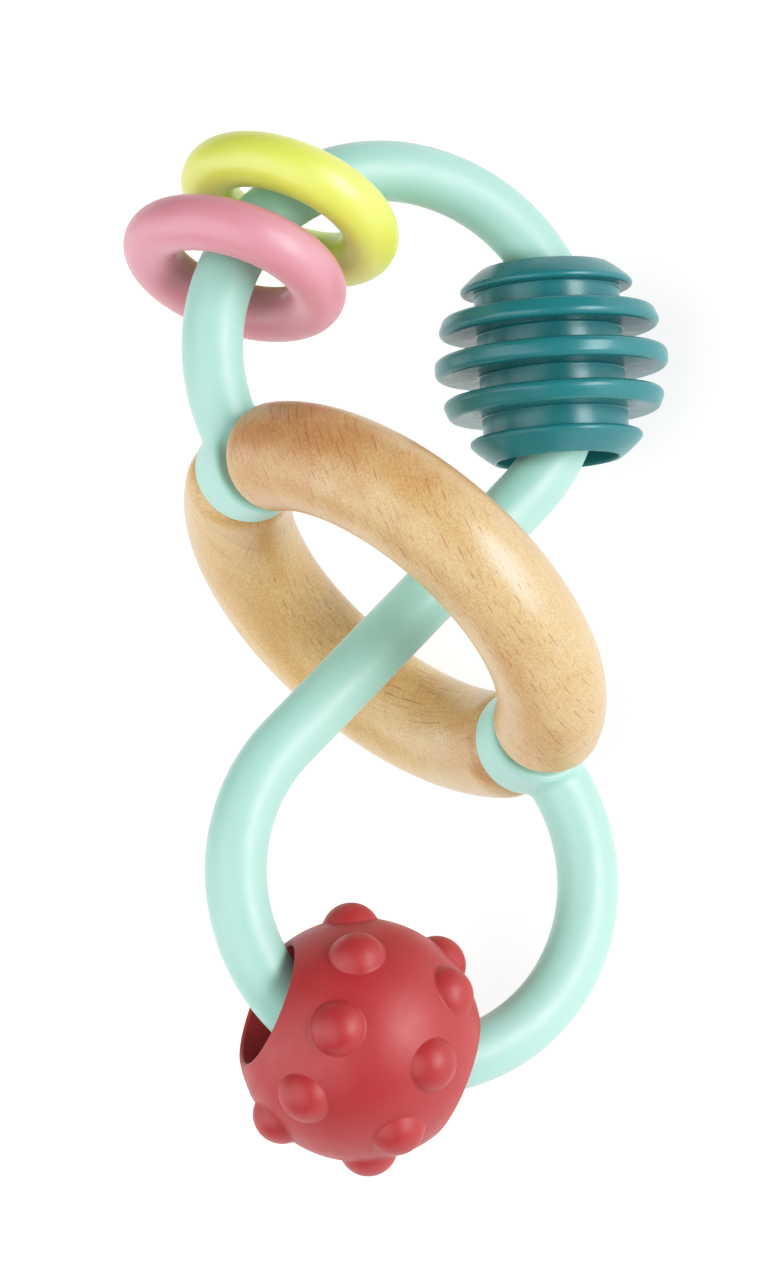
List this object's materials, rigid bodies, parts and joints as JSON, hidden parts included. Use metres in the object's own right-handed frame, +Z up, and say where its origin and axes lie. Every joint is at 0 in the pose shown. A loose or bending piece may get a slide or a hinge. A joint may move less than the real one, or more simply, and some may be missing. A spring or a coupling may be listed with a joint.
{
  "type": "bead maze teether",
  "caption": "Baby's bead maze teether: a beech grip ring held on an S-shaped tube, with hoop beads, a ribbed bead and a bumpy ball that slide along its loops.",
  "frame": {"origin": "centre of the toy's footprint, on the table that it lies on", "axes": "+X along the length of the S from the lower loop with the bumpy ball to the upper loop, +Z up from the table, -Y to the side that the front of the S leans towards"},
  "size_m": [0.1488, 0.07, 0.0719],
  "materials": {
    "mint_tube": "satin moulded",
    "beech": "oiled, sanded smooth",
    "dowel_wood": "plain turned",
    "pink_bead": "satin moulded",
    "yellow_bead": "satin moulded",
    "teal_bead": "semi-gloss moulded",
    "red_silicone": "matt silicone"
  },
  "bodies": {
    "grip_frame": {"maze_tube": "mint_tube", "ring_half_front": "beech", "ring_half_rear": "beech", "dowel_upper": "dowel_wood", "dowel_lower": "dowel_wood"},
    "pink_hoop": {"pink_hoop": "pink_bead"},
    "yellow_hoop": {"yellow_hoop": "yellow_bead"},
    "ribbed_bead": {"ribbed_bead": "teal_bead"},
    "bumpy_ball": {"bumpy_ball": "red_silicone"}
  },
  "joints": [
    {"name": "pink_hoop_travel", "type": "hinge", "parent": "grip_frame", "child": "pink_hoop", "pos_m": [0.04249, 0.00271, 0.03575], "axis": [0.0001, -0.7871, 0.6169], "range_deg": [-2, 34]},
    {"name": "yellow_hoop_travel", "type": "hinge", "parent": "grip_frame", "child": "yellow_hoop", "pos_m": [0.04249, 0.00271, 0.03575], "axis": [0.0001, -0.7871, 0.6169], "range_deg": [-22, 2]},
    {"name": "ribbed_bead_travel", "type": "hinge", "parent": "grip_frame", "child": "ribbed_bead", "pos_m": [0.04249, 0.00271, 0.03575], "axis": [0.0001, -0.7871, 0.6169], "range_deg": [-40, 18]},
    {"name": "bumpy_ball_travel", "type": "hinge", "parent": "grip_frame", "child": "bumpy_ball", "pos_m": [-0.03142, -0.00551, 0.02526], "axis": [0.0001, -0.7871, 0.6169], "range_deg": [-84, 98]}
  ]
}
